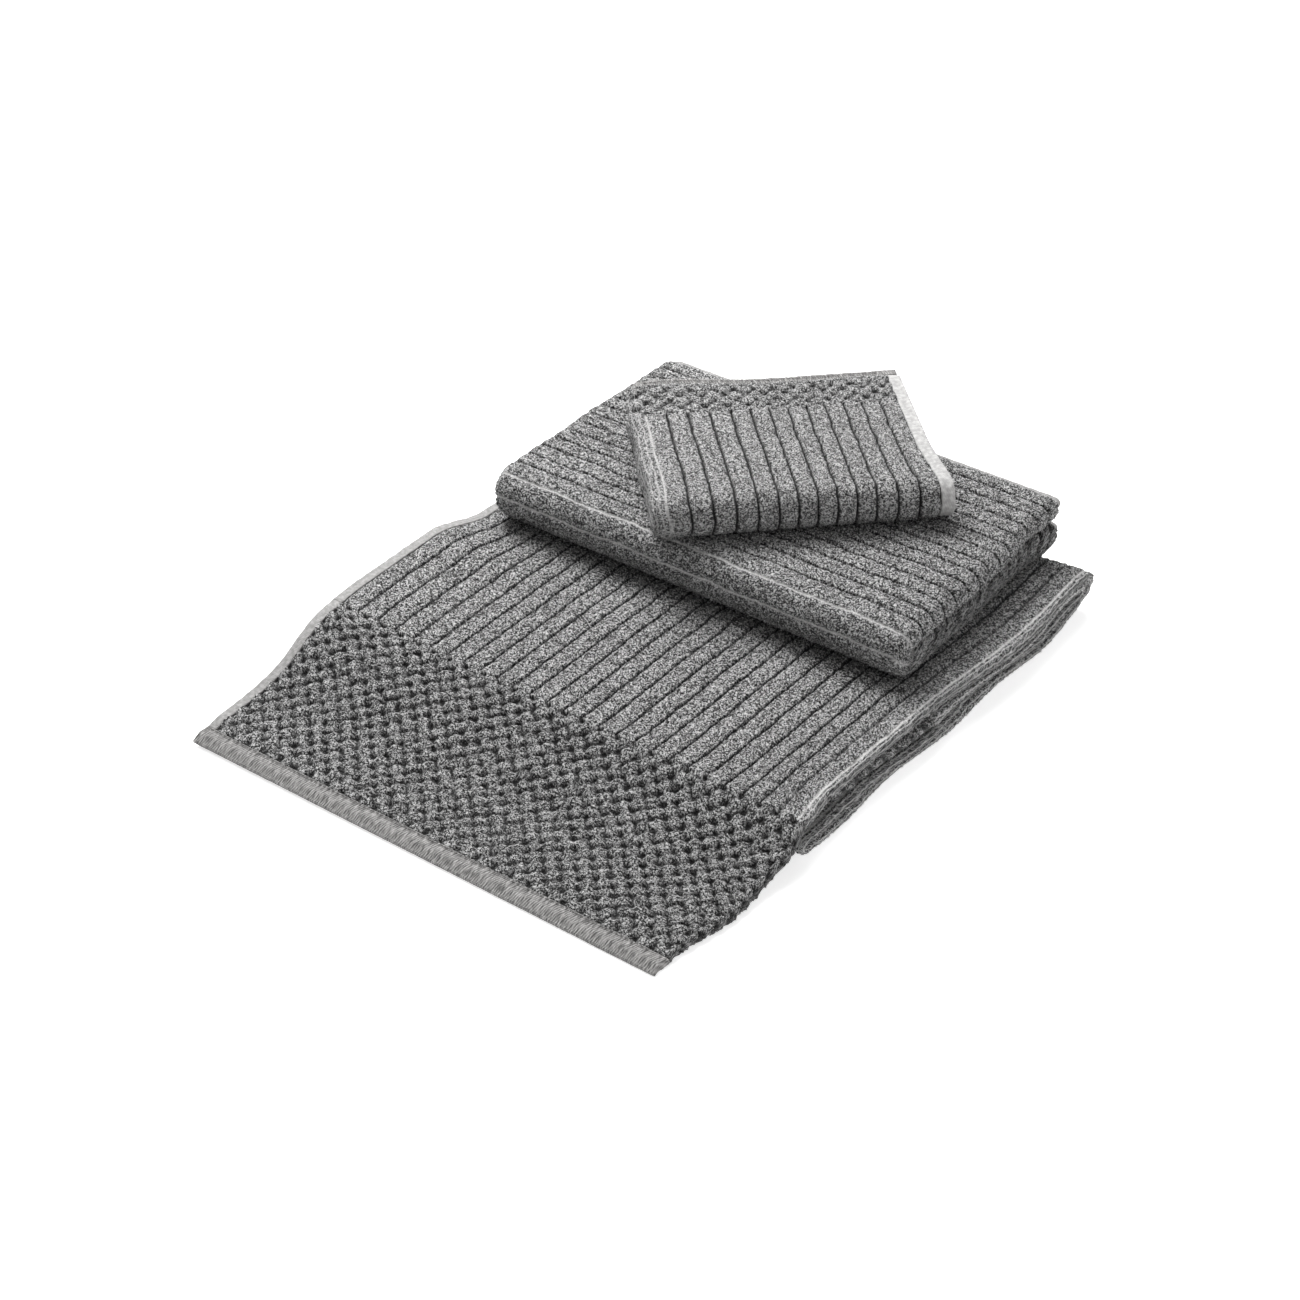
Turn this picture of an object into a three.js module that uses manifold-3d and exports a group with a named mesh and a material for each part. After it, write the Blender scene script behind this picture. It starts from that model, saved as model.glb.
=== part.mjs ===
// A set of three ribbed terry towels, folded and stacked: a bath towel, a hand towel and a washcloth.
// Units are millimetres, +Z is up. X runs across the bath towel and Y along its ribs, front to back.
import * as THREE from 'three';
import Module from 'manifold-3d';
import { mergeVertices } from 'three/addons/utils/BufferGeometryUtils.js';

const wasm = await Module();
wasm.setup();

// Driving dimensions.
const GAP = 0.3; // between neighbouring pieces that touch on the real cloth
const FOLD_GAP = 0.6; // air left between two folded layers
const SELVEDGE = 6.3; // width of the smooth woven edge
const HEM = 12; // width of the flat woven hem of the two larger towels

// Bath towel: folded in half along its ribs, then crosswise into four passes, with its front end
// lying loose on the table. One pass holds two leaves of cloth.
const BATH_WIDTH = 345;
const BATH_BACK = 309; // from the crest, where the loose end starts, to the outside of the back fold
const PASS = 7; // thickness of the two leaves of one pass
const FLAP_WIDTH = 336;
const FLAP_REACH = 130; // from the crest to the front edge of the hem
const CREST = 2; // level stretch of the loose end before it turns down
// How the loose end comes down to the table: distance in front of the crest, height of its middle.
const FLAP_DRAPE = [[10, 24.2], [22, 19.2], [37, 14.6], [54, 10.3], [72, 7.2], [92, 5.2], [108, 4]];
const BATH_BORDER = 113; // length of the woven block border at the hidden end
const BATH_HEM_THICK = 4.6;
const REAR_END = 4; // where the hidden end stops, behind the crest

// Hand towel: both ends turned in to meet at the middle, then folded once along its ribs.
const HAND_LENGTH = 296;
const HAND_DEPTH = 193;
const HAND_LEAF = 8.6; // thickness of one puffed leaf at the folds
const HAND_BORDER = 110;
const HAND_HEM_THICK = 6.6;
const HAND_CENTRE = [166, 221];
const HAND_TURN = THREE.MathUtils.degToRad(1.3);

// Washcloth: folded in half along its ribs, then once across them.
const WASH_WIDTH = 170;
const WASH_DEPTH = 151;
const WASH_PAIR = 13.7; // thickness of the two leaves of one arm
const WASH_BORDER = 38;
const WASH_HEM = 6;
const WASH_SELVEDGE = 8;
const WASH_HEM_THICK = 9.7;
const WASH_CENTRE = [157.5, 235.5];
const WASH_TURN = THREE.MathUtils.degToRad(46);

// A row of stitches, as one fine cord.
const STITCH_WIDE = 1.2;
const STITCH_HIGH = 0.7;
const STITCH_INSET = 4;

const ARC_STEPS = 14;

const cloth = (colour, roughness) => new THREE.MeshStandardMaterial({ color: colour, roughness, metalness: 0 });
const RIBBED = cloth(0x7d7a7b, 0.95);
const BORDER = cloth(0x747172, 0.95);
const FLAT_HEM = cloth(0xa5a29c, 0.85);
const EDGE = cloth(0xc4c2be, 0.85);
const THREAD = cloth(0xb4b1ab, 0.7);

// Route helpers. A route is a list of points in a vertical plane: x along the plane, y upwards.
const along = (x0, y0, x1, y1) => [new THREE.Vector2(x0, y0), new THREE.Vector2(x1, y1)];

function arc(x, y, radius, from, to) {
  const points = [];
  for (let i = 0; i <= ARC_STEPS; i += 1) {
    const a = THREE.MathUtils.degToRad(from + ((to - from) * i) / ARC_STEPS);
    points.push(new THREE.Vector2(x + radius * Math.cos(a), y + radius * Math.sin(a)));
  }
  return points;
}

function joined(...stretches) {
  const route = [];
  for (const point of stretches.flat()) {
    if (!route.length || route.at(-1).distanceTo(point) > 1e-6) route.push(point);
  }
  return route;
}

// The outline of a layer of cloth that follows a route. A positive shift is to the left of travel.
function layer(route, shift, thickness) {
  const left = [];
  const right = [];
  route.forEach((point, i) => {
    const before = route[Math.max(i - 1, 0)];
    const after = route[Math.min(i + 1, route.length - 1)];
    const run = after.clone().sub(before).normalize();
    const normal = new THREE.Vector2(-run.y, run.x);
    left.push(point.clone().addScaledVector(normal, shift + thickness / 2));
    right.push(point.clone().addScaledVector(normal, shift - thickness / 2));
  });
  return new THREE.Shape([...right, ...left.reverse()]);
}

// Outline in the Y-Z plane, pulled out along +X between two values.
function acrossX(shape, x0, x1) {
  const solid = new THREE.ExtrudeGeometry(shape, { depth: x1 - x0, bevelEnabled: false, curveSegments: 1 });
  const turn = new THREE.Matrix4().makeBasis(
    new THREE.Vector3(0, 1, 0), new THREE.Vector3(0, 0, 1), new THREE.Vector3(1, 0, 0));
  return solid.applyMatrix4(turn).translate(x0, 0, 0);
}

// Outline in the X-Z plane, pulled out along +Y between two values.
function acrossY(shape, y0, y1) {
  const solid = new THREE.ExtrudeGeometry(shape, { depth: y1 - y0, bevelEnabled: false, curveSegments: 1 });
  return solid.rotateX(Math.PI / 2).translate(0, y1, 0);
}

function block(x0, x1, y0, y1, z0, z1) {
  return new THREE.BoxGeometry(x1 - x0, y1 - y0, z1 - z0)
    .translate((x0 + x1) / 2, (y0 + y1) / 2, (z0 + z1) / 2);
}

function toManifold(geometry) {
  const bare = geometry.clone();
  bare.deleteAttribute('normal');
  bare.deleteAttribute('uv');
  const merged = mergeVertices(bare, 1e-4);
  return new wasm.Manifold(new wasm.Mesh({
    numProp: 3,
    vertProperties: new Float32Array(merged.attributes.position.array),
    triVerts: new Uint32Array(merged.index.array),
  }));
}

function union(geometries) {
  const mesh = geometries.map(toManifold).reduce((sum, solid) => sum.add(solid)).getMesh();
  const geometry = new THREE.BufferGeometry();
  geometry.setAttribute('position', new THREE.BufferAttribute(new Float32Array(mesh.vertProperties), 3));
  geometry.setIndex(new THREE.BufferAttribute(new Uint32Array(mesh.triVerts), 1));
  geometry.computeVertexNormals();
  return geometry;
}

function named(name, geometry, material) {
  const mesh = new THREE.Mesh(geometry, material);
  mesh.name = name;
  return mesh;
}

// Bath towel.
const PITCH = PASS + FOLD_GAP;
const [FOURTH, THIRD, SECOND, FIRST] = [0, 1, 2, 3].map((i) => PASS / 2 + i * PITCH);
const BATH_TOP = FIRST + PASS / 2;
const LEAF = (PASS - FOLD_GAP) / 2;
const LEAF_SHIFT = (LEAF + FOLD_GAP) / 2;
const OUTER_FOLD = (FIRST - FOURTH) / 2;
const INNER_FOLD = PITCH / 2;
const BACK_CENTRE = BATH_BACK - OUTER_FOLD - PASS / 2;
const FRONT_CENTRE = INNER_FOLD + PASS / 2 + GAP;

// From a start in the second pass, round the inner back fold, the front fold and the outer back
// fold, to the crest at the front of the first pass.
function bathStackRoute(start) {
  return joined(
    along(start, SECOND, BACK_CENTRE, SECOND),
    arc(BACK_CENTRE, (SECOND + THIRD) / 2, INNER_FOLD, 90, -90),
    along(BACK_CENTRE, THIRD, FRONT_CENTRE, THIRD),
    arc(FRONT_CENTRE, (THIRD + FOURTH) / 2, INNER_FOLD, 90, 270),
    along(FRONT_CENTRE, FOURTH, BACK_CENTRE, FOURTH),
    arc(BACK_CENTRE, (FIRST + FOURTH) / 2, OUTER_FOLD, -90, 90),
    along(BACK_CENTRE, FIRST, 0, FIRST),
  );
}

// From the crest down to the table in one easy curve that ends flat at the hem.
function flapRoute() {
  const drape = new THREE.SplineCurve([
    new THREE.Vector2(-CREST, FIRST),
    ...FLAP_DRAPE.map(([reach, height]) => new THREE.Vector2(-reach, height)),
    new THREE.Vector2(-FLAP_REACH + HEM + GAP, FOURTH),
  ]);
  return joined(along(-GAP, FIRST, -CREST, FIRST), drape.getPoints(3 * ARC_STEPS));
}

function bathTowel() {
  const inner = SELVEDGE + GAP;
  const borderStart = REAR_END + HEM + GAP;
  const fieldStart = borderStart + BATH_BORDER + GAP;
  const stack = bathStackRoute(fieldStart);
  const edge = bathStackRoute(REAR_END + HEM + GAP);
  const flap = flapRoute();
  const rearFloor = SECOND - PASS / 2;
  const rearStitch = REAR_END + HEM - STITCH_INSET;
  const frontStitch = -FLAP_REACH + HEM - STITCH_INSET;
  const stitch = (y, z, x1) => block(STITCH_INSET, x1 - STITCH_INSET, y, y + STITCH_WIDE, z, z + STITCH_HIGH);
  return [
    named('bath_ribbed_field', acrossX(layer(stack, 0, PASS), inner, BATH_WIDTH), RIBBED),
    named('bath_selvedge_outer_leaf', acrossX(layer(edge, -LEAF_SHIFT, LEAF), 0, SELVEDGE), EDGE),
    named('bath_selvedge_inner_leaf', acrossX(layer(edge, LEAF_SHIFT, LEAF), 0, SELVEDGE), EDGE),
    named('bath_rear_border', acrossX(
      layer(along(borderStart, SECOND, borderStart + BATH_BORDER, SECOND), 0, PASS), inner, BATH_WIDTH), BORDER),
    named('bath_rear_hem', block(
      0, BATH_WIDTH, REAR_END, REAR_END + HEM, rearFloor, rearFloor + BATH_HEM_THICK), FLAT_HEM),
    named('bath_rear_hem_stitching', stitch(rearStitch, rearFloor + BATH_HEM_THICK + GAP, BATH_WIDTH), THREAD),
    named('bath_front_border', acrossX(layer(flap, 0, PASS), inner, FLAP_WIDTH), BORDER),
    named('bath_front_selvedge_outer_leaf', acrossX(layer(flap, -LEAF_SHIFT, LEAF), 0, SELVEDGE), EDGE),
    named('bath_front_selvedge_inner_leaf', acrossX(layer(flap, LEAF_SHIFT, LEAF), 0, SELVEDGE), EDGE),
    named('bath_front_hem', block(0, FLAP_WIDTH, -FLAP_REACH, -FLAP_REACH + HEM, 0, BATH_HEM_THICK), FLAT_HEM),
    named('bath_front_hem_stitching', stitch(frontStitch, BATH_HEM_THICK + GAP, FLAP_WIDTH), THREAD),
  ];
}

// A U-shaped route that lies on its side: back along the upper arm, round the front fold, and back
// along the lower arm. Its front is at zero depth.
function foldedRoute(depth, pair) {
  const radius = (pair + FOLD_GAP) / 2;
  const low = pair / 2;
  const high = low + 2 * radius;
  const centre = radius + pair / 2;
  return joined(
    along(depth, high, centre, high),
    arc(centre, low + radius, radius, 90, 270),
    along(centre, low, depth, low),
  );
}

// Hand towel, with its own corner at the left end of the front fold.
const HAND_PAIR = 2 * HAND_LEAF + GAP;
const HAND_HIGH = 2 * HAND_PAIR + FOLD_GAP;
const HAND_SHIFT = (HAND_LEAF + GAP) / 2;

// A strip along one selvedge: an outer leaf whose two ends turn in and meet at the middle.
function handSelvedge(outerZ, innerZ) {
  const radius = Math.abs(outerZ - innerZ) / 2;
  const left = radius + HAND_LEAF / 2;
  const right = HAND_LENGTH - left;
  const middle = HAND_LENGTH / 2;
  const z = (outerZ + innerZ) / 2;
  const side = outerZ > innerZ ? 1 : -1;
  return joined(
    along(middle - GAP, innerZ, left, innerZ),
    arc(left, z, radius, -90 * side, -270 * side),
    along(left, outerZ, right, outerZ),
    arc(right, z, radius, 90 * side, -90 * side),
    along(right, innerZ, middle + GAP, innerZ),
  );
}

function handTowel() {
  const field = foldedRoute(HAND_DEPTH - SELVEDGE - GAP, HAND_PAIR);
  const middle = HAND_LENGTH / 2;
  const hemLeft = middle - GAP / 2 - HEM;
  const hemRight = middle + GAP / 2;
  const borderLeft = hemLeft - GAP - HAND_BORDER;
  const borderRight = hemRight + HEM + GAP;
  const turnIn = borderLeft - GAP;
  const whole = layer(field, 0, HAND_PAIR);
  const outer = layer(field, -HAND_SHIFT, HAND_LEAF);
  const inner = layer(field, HAND_SHIFT, HAND_LEAF - GAP);
  const hem = layer(field, HAND_SHIFT, HAND_HEM_THICK);
  const topLeafZ = HAND_HIGH - HAND_LEAF / 2;
  const lowLeafZ = HAND_LEAF / 2;
  const edge = (outerZ, innerZ) => acrossY(
    layer(handSelvedge(outerZ, innerZ), 0, HAND_LEAF - GAP), HAND_DEPTH - SELVEDGE, HAND_DEPTH);
  const seamBack = HAND_DEPTH - SELVEDGE - 2 * GAP;
  const seamFloor = HAND_HIGH - HAND_PAIR / 2 - HAND_SHIFT + HAND_HEM_THICK / 2 + GAP;
  const seam = (x) => block(x, x + STITCH_WIDE, HAND_PAIR, seamBack, seamFloor, seamFloor + STITCH_HIGH);
  const pieces = [
    named('hand_ribbed_field', union([
      acrossX(outer, 0, HAND_LENGTH),
      acrossX(whole, 0, turnIn),
      acrossX(whole, HAND_LENGTH - turnIn, HAND_LENGTH),
    ]), RIBBED),
    named('hand_left_border', acrossX(inner, borderLeft, borderLeft + HAND_BORDER), BORDER),
    named('hand_right_border', acrossX(inner, borderRight, borderRight + HAND_BORDER), BORDER),
    named('hand_left_hem', acrossX(hem, hemLeft, hemLeft + HEM), FLAT_HEM),
    named('hand_right_hem', acrossX(hem, hemRight, hemRight + HEM), FLAT_HEM),
    named('hand_left_hem_stitching', seam(hemLeft + STITCH_INSET), THREAD),
    named('hand_right_hem_stitching', seam(hemRight + HEM - STITCH_INSET), THREAD),
    named('hand_upper_selvedge', edge(topLeafZ, topLeafZ - HAND_LEAF - GAP), EDGE),
    named('hand_lower_selvedge', edge(lowLeafZ, lowLeafZ + HAND_LEAF + GAP), EDGE),
  ];
  return placed(pieces, HAND_LENGTH, HAND_DEPTH, HAND_CENTRE, HAND_TURN, BATH_TOP + GAP);
}

// Washcloth, with its own corner at the left end of the front fold.
const WASH_HIGH = 2 * WASH_PAIR + FOLD_GAP;

function washcloth() {
  const fieldEnd = WASH_DEPTH - WASH_HEM - GAP - WASH_BORDER - GAP;
  const right = WASH_WIDTH - WASH_SELVEDGE - GAP;
  const leaf = (WASH_PAIR - FOLD_GAP) / 2;
  const shift = (leaf + FOLD_GAP) / 2;
  const edge = foldedRoute(WASH_DEPTH - WASH_HEM - GAP, WASH_PAIR);
  const upperFloor = WASH_PAIR + FOLD_GAP;
  const hemY = WASH_DEPTH - WASH_HEM;
  const seam = (z) => block(
    STITCH_INSET, WASH_WIDTH - STITCH_INSET, hemY + STITCH_WIDE, hemY + 2 * STITCH_WIDE, z, z + STITCH_HIGH);
  const borderStart = fieldEnd + GAP;
  const border = (z) => block(0, right, borderStart, borderStart + WASH_BORDER, z, z + WASH_PAIR);
  const hem = (z) => block(0, WASH_WIDTH, hemY, WASH_DEPTH, z, z + WASH_HEM_THICK);
  const pieces = [
    named('wash_ribbed_field', acrossX(layer(foldedRoute(fieldEnd, WASH_PAIR), 0, WASH_PAIR), 0, right), RIBBED),
    named('wash_upper_border', border(upperFloor), BORDER),
    named('wash_lower_border', border(0), BORDER),
    named('wash_upper_hem', hem(upperFloor), FLAT_HEM),
    named('wash_lower_hem', hem(0), FLAT_HEM),
    named('wash_upper_hem_stitching', seam(upperFloor + WASH_HEM_THICK + GAP), THREAD),
    named('wash_lower_hem_stitching', seam(WASH_HEM_THICK + GAP), THREAD),
    named('wash_selvedge_outer_leaf', acrossX(layer(edge, -shift, leaf), WASH_WIDTH - WASH_SELVEDGE, WASH_WIDTH), EDGE),
    named('wash_selvedge_inner_leaf', acrossX(layer(edge, shift, leaf), WASH_WIDTH - WASH_SELVEDGE, WASH_WIDTH), EDGE),
  ];
  return placed(pieces, WASH_WIDTH, WASH_DEPTH, WASH_CENTRE, WASH_TURN, BATH_TOP + GAP + HAND_HIGH + GAP);
}

// A group whose footprint is centred on a point, turned about it and lifted to a floor height.
function placed(pieces, length, depth, centre, turn, floor) {
  const inner = new THREE.Group();
  inner.position.set(-length / 2, -depth / 2, 0);
  inner.add(...pieces);
  const outer = new THREE.Group();
  outer.position.set(centre[0], centre[1], floor);
  outer.rotation.z = turn;
  outer.add(inner);
  return outer;
}

const towels = new THREE.Group();
towels.add(...bathTowel(), handTowel(), washcloth());

// The origin is the middle of the footprint, on the table.
towels.updateMatrixWorld(true);
const extent = new THREE.Box3().setFromObject(towels, true);
towels.position.set(-(extent.min.x + extent.max.x) / 2, -(extent.min.y + extent.max.y) / 2, -extent.min.z);

const set = new THREE.Group();
set.add(towels);
set.updateMatrixWorld(true);
export default set;
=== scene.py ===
"""A folded bath towel, hand towel and washcloth in ribbed grey terry, stacked on a pale floor."""

import math

import bpy
import numpy as np
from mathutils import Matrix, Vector


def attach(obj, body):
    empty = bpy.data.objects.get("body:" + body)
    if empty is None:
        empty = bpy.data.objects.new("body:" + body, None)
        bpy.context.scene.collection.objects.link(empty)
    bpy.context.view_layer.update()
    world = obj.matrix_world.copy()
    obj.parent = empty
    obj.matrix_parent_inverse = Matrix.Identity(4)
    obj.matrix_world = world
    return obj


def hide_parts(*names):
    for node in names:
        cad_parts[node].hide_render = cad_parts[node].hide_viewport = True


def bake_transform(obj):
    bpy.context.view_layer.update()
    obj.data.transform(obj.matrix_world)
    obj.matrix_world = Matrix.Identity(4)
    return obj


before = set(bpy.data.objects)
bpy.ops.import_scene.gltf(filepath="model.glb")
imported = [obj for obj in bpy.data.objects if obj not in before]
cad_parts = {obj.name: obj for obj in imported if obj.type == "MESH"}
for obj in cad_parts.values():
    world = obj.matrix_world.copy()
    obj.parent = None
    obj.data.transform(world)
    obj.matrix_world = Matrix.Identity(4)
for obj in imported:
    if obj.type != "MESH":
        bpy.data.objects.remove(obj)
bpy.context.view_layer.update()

MM = 0.001
ROW_SHIFT = np.array([172.5, 109.545, 0.0])  # from the bath towel's own corner to the row frame
HAIR = 0.05  # half the gap left between two pieces woven as one cloth
RIB = 12.5
NEAR_GROOVE = (-1.6, -1.0, -0.5, 0.0, 0.5, 1.0, 1.6)
FUZZ = 0.3  # how uneven the loops are
THINNEST = 0.35
STITCH = 2.6
STITCH_GAP = 0.7

# Bath towel.
BATH_WIDTH = 345.0
BATH_LEAF = 3.2
BATH_SHIFT = 1.9
PITCH = 7.6
HEIGHTS = [3.5, 11.1, 18.7, 26.3]
BACK_CENTRE = 294.1
FRONT_CENTRE = 7.6
REAR_END = 4.0
HEM = 12.0
BORDER = 113.0
SELVEDGE = 6.3
FLAP_WIDTH = 336.0
FLAP_END = -130.0
# Height of the middle of the loose end at each distance in front of the crest: on average, at its
# left edge and at its right edge.
DRAPE = [
    (2, 26.3), (10, 24.2), (22, 19.2), (37, 14.6), (54, 10.3), (72, 7.2), (92, 5.2), (108, 4.0), (118, 3.5),
]
LEFT_DRAPE = [
    (0, 26.3), (14, 26.4), (26, 25.4), (38, 22.4), (50, 17.8), (64, 13.2), (80, 9.8), (100, 7.4), (130, 5.2),
]
RIGHT_DRAPE = [
    (0, 26.3), (5, 22.0), (14, 15.0), (26, 10.4), (42, 7.0), (60, 4.7), (78, 3.7), (100, 3.5), (130, 3.5),
]
BATH_HEM_LEAF = 2.1
BATH_HEM_SHIFT = 1.2
SELVEDGE_LEAF = 1.7
BATH_FIRST = 6.45  # the first groove
BATH_RIB = (339.0 - BATH_FIRST) / 26
BATH_FOLD = 339

# Hand towel.
HAND_LENGTH = 296.0
HAND_DEPTH = 193.0
HAND_LEAF = 8.6
HAND_SHIFT = 4.45
HAND_PAIR = 17.5
HAND_CENTRE = (166.0, 221.0)
HAND_TURN = math.radians(1.3)
HAND_FLOOR = 30.1
HAND_BORDER = 110.0
HAND_LOBE = 8.75  # half the height of one arm of the fold
HAND_FOLD_RADIUS = 9.05
HAND_MEET = 0.15  # half the gap between the two turned-in ends
HAND_HEM_LEAF = 6.4
HAND_SELVEDGE_LEAF = 2.6
HAND_RISE = 6.5  # the first groove
HAND_SEAM = 18.1 + HAND_LOBE - HAND_SHIFT + 3.3 + 0.35

# Washcloth.
WASH_WIDTH = 170.0
WASH_DEPTH = 151.0
WASH_PAIR = 13.7
WASH_LEAF = 6.55
WASH_SHIFT = 3.575
WASH_BORDER = 38.0
WASH_HEM = 6.0
WASH_SELVEDGE = 8.0
WASH_SELVEDGE_LEAF = 4.4
WASH_HEM_SHIFT = 2.5
WASH_HEM_LEAF = 4.5
WASH_HEM_RISE = 2.0
WASH_FOLD_RADIUS = 7.15
WASH_CENTRE = (157.5, 235.5)
WASH_TURN = math.radians(46.0)
WASH_FLOOR = 66.0

# Pale lines beside a fold: each line's distance from the fold and how bare it is. The fold lies half
# way across the cloth's outer leaf.
BATH_MIDDLE = BATH_WIDTH - BATH_SHIFT - BATH_LEAF / 2 + math.pi * BATH_SHIFT / 2
BATH_CREASES = ((0.7, 0.8), (2.6, 0.8), (4.9, 0.95))
WASH_MIDDLE = WASH_WIDTH - WASH_SHIFT - WASH_LEAF / 2 + math.pi * WASH_SHIFT / 2
WASH_CREASES = ((0.6, 0.4), (2.6, 0.7), (5.0, 0.7))


# Small numeric helpers.
def rise(start, end, x):
    """Goes smoothly from 0 at start to 1 at end."""
    t = np.clip((np.asarray(x, float) - start) / (end - start), 0.0, 1.0)
    return t * t * (3 - 2 * t)


def ripple(a, b, length, seed):
    """A smooth seeded unevenness of about plus or minus 1, with bumps of about that length."""
    rng = np.random.default_rng(seed)
    total = 0.0
    for _ in range(7):
        angle = rng.uniform(0, 2 * math.pi)
        rate = 2 * math.pi / length * rng.uniform(0.6, 1.5)
        phase = rng.uniform(0, 2 * math.pi)
        total = total + np.sin(rate * (a * math.cos(angle) + b * math.sin(angle)) + phase)
    return total / 2.6


def spread(start, end, step):
    """Even places from start to end, about a step apart."""
    count = max(1, round(abs(end - start) / step))
    return np.linspace(start, end, count + 1)


def merged(*parts):
    """The parts in order as one rising list, without repeats."""
    values = np.concatenate([np.asarray(p, float) for p in parts])
    values = np.unique(np.round(values, 4))
    keep = np.concatenate([[True], np.diff(values) > 0.02])
    return values[keep]


def own_copies(*parts):
    """The parts in one shape, as copies that can be changed."""
    return [part.copy() for part in np.broadcast_arrays(*parts)]


def measured(path):
    """The points of a path, each with its distance from the start."""
    steps = np.linalg.norm(np.diff(path, axis=0), axis=1)
    return list(zip(np.concatenate([[0.0], np.cumsum(steps)]), path))


# Guide lines: a route in a plane, with its normal to the right of travel.
def line(a0, b0, a1, b1):
    n = max(2, int(math.hypot(a1 - a0, b1 - b0) / 0.25))
    return np.stack([np.linspace(a0, a1, n), np.linspace(b0, b1, n)], 1)


def bend(a, b, radius, start, end):
    n = max(24, int(radius * abs(math.radians(end - start)) / 0.1))
    angle = np.radians(np.linspace(start, end, n))
    return np.stack([a + radius * np.cos(angle), b + radius * np.sin(angle)], 1)


def spline(points, parts=24):
    """A smooth line through the points."""
    p = np.array([points[0]] + list(points) + [points[-1]], float)
    out = []
    for a, b, c, d in zip(p, p[1:], p[2:], p[3:]):
        t = np.linspace(0, 1, parts, endpoint=False)[:, None]
        out.append(0.5 * (2 * b + (c - a) * t + (2 * a - 5 * b + 4 * c - d) * t ** 2
                          + (3 * b - a - 3 * c + d) * t ** 3))
    return np.concatenate(out + [p[-1:]])


class Guide:
    """Joined lines, looked up by the distance along them."""

    def __init__(self, *parts):
        points = np.concatenate(parts)
        step = np.linalg.norm(np.diff(points, axis=0), axis=1)
        points = points[np.concatenate([[True], step > 1e-5])]
        step = np.linalg.norm(np.diff(points, axis=0), axis=1)
        self.length = np.concatenate([[0.0], np.cumsum(step)])
        self.points = points
        run = np.gradient(points, self.length, axis=0)
        run /= np.linalg.norm(run, axis=1)[:, None]
        self.normal = np.stack([run[:, 1], -run[:, 0]], 1)
        heading = np.unwrap(np.arctan2(run[:, 1], run[:, 0]))
        self.turned = heading - heading[0]
        self.end = float(self.length[-1])

    def at(self, where):
        columns = (*self.points.T, *self.normal.T)
        a, b, na, nb = [np.interp(where, self.length, column) for column in columns]
        size = np.hypot(na, nb)
        return a, b, na / size, nb / size

    def angle(self, where):
        return np.interp(where, self.length, self.turned)


# Meshes.
def put(name, data):
    obj = bpy.data.objects.new(name, data)
    bpy.context.scene.collection.objects.link(obj)
    return obj


def grid_faces(grid):
    corners = (grid[:-1, :-1], grid[1:, :-1], grid[1:, 1:], grid[:-1, 1:])
    return np.stack(corners, -1).reshape(-1, 4)


def strip_faces(first_keys, first, second_keys, second):
    """Faces between two rows of points, matched where both have a point at the same place."""
    one_keys, two_keys = np.round(first_keys, 4), np.round(second_keys, 4)
    shared = np.intersect1d(one_keys, two_keys)
    at_first = np.searchsorted(one_keys, shared)
    at_second = np.searchsorted(two_keys, shared)
    faces = []
    for i in range(len(shared) - 1):
        one = first[at_first[i]: at_first[i + 1] + 1]
        two = second[at_second[i]: at_second[i + 1] + 1]
        faces.append([int(p) for p in one[::-1]] + [int(p) for p in two])
    return faces


def make_mesh(name, points, quads, polygons, values):
    mesh = bpy.data.meshes.new(name)
    sizes = [4] * len(quads) + [len(p) for p in polygons]
    loops = np.concatenate([quads.ravel()] + [np.asarray(p) for p in polygons])
    mesh.vertices.add(len(points))
    mesh.vertices.foreach_set("co", (points * MM).astype(np.float32).ravel())
    mesh.loops.add(len(loops))
    mesh.loops.foreach_set("vertex_index", loops.astype(np.int32))
    mesh.polygons.add(len(sizes))
    starts = np.concatenate([[0], np.cumsum(sizes)[:-1]]).astype(np.int32)
    mesh.polygons.foreach_set("loop_start", starts)
    mesh.polygons.foreach_set("use_smooth", np.ones(len(sizes), bool))
    mesh.update(calc_edges=True)
    mesh.validate()
    for key, data in values.items():
        kind, part = ("FLOAT_VECTOR", "vector") if data.ndim == 2 else ("FLOAT", "value")
        attribute = mesh.attributes.new(key, kind, "POINT")
        attribute.data.foreach_set(part, data.astype(np.float32).ravel())
    return put(name, mesh)


class Cloth:
    """A towel as folded: a profile across it, swept along a route, and then put in its place."""

    def __init__(self, profile, route, leaf, place):
        self.profile, self.route, self.leaf, self.place = profile, route, leaf, place

    def points(self, s, v, depth, squeeze, sink):
        x, n, right, down = self.profile.at(s)
        ex, en = -right, -down
        y, z, ny, nz = self.route.at(v)
        k = squeeze(v)[None, :]
        out = x[:, None] + ex[:, None] * depth
        high = (n[:, None] + en[:, None] * depth) * k + sink(v)[None, :]
        across = y[None, :] + ny[None, :] * high
        up = z[None, :] + nz[None, :] * high
        return self.place(out, across, up, s[:, None], v[None, :])

    def flat(self, s, v):
        _, n, _, _ = self.profile.at(s)
        v_flat = v[None, :] + n[:, None] * self.route.angle(v)[None, :]
        return np.broadcast_to(s[:, None], v_flat.shape), v_flat

    def skin(self, s, v):
        """Lengths along the outer face, so that the grain isn't stretched round a bend."""
        _, n, _, down = self.profile.at(s)
        half = self.leaf / 2
        across = s + half * np.abs(self.profile.angle(s))
        along = v[None, :] + (n - down * half)[:, None] * self.route.angle(v)[None, :]
        return np.broadcast_to(across[:, None], along.shape), along


def plain(v):
    return np.ones_like(v)


def level(v):
    return np.zeros_like(v)


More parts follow.
